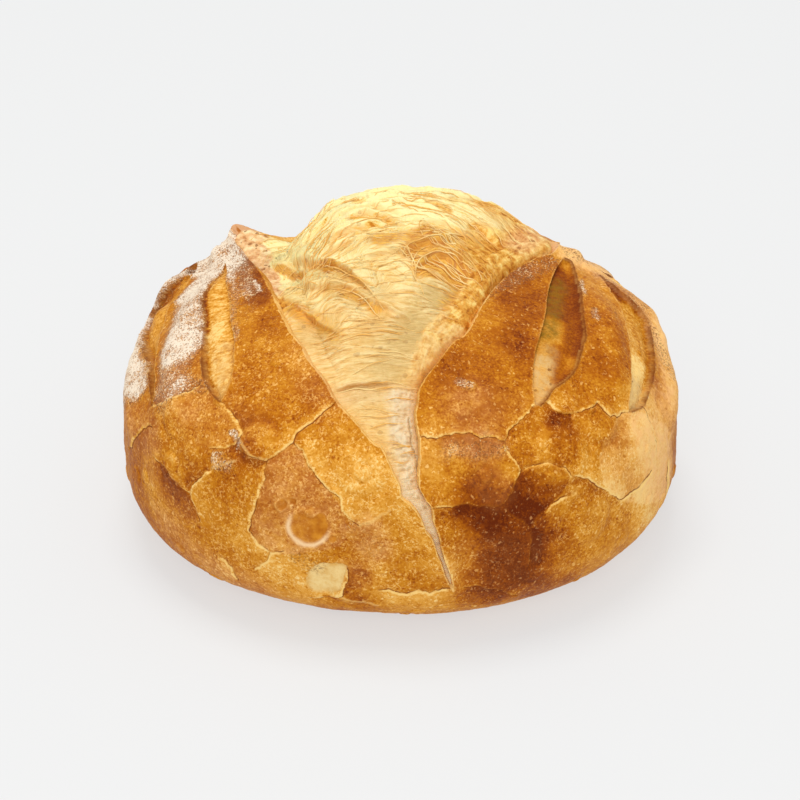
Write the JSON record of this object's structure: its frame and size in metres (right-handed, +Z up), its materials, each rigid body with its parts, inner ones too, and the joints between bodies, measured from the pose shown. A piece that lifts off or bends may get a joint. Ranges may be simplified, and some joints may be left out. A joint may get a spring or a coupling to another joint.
{
  "type": "sourdough loaf",
  "caption": "Round rustic loaf with a thick browned crust, burst open along a deep central score where pale stringy crumb has risen in a mound, and shorter leaf-shaped scores on both shoulders.",
  "frame": {"origin": "middle of the flat underside that the loaf rests on", "axes": "+Z up, +X to the loaf's right across the burst, -Y to the front where the burst runs down to a point"},
  "size_m": [0.248, 0.2282, 0.1314],
  "materials": {
    "bread": "browned baked crust with flour dust, matt to slightly satin; pale matt crumb where it has burst"
  },
  "bodies": {
    "root": {"loaf": "bread"}
  },
  "joints": []
}
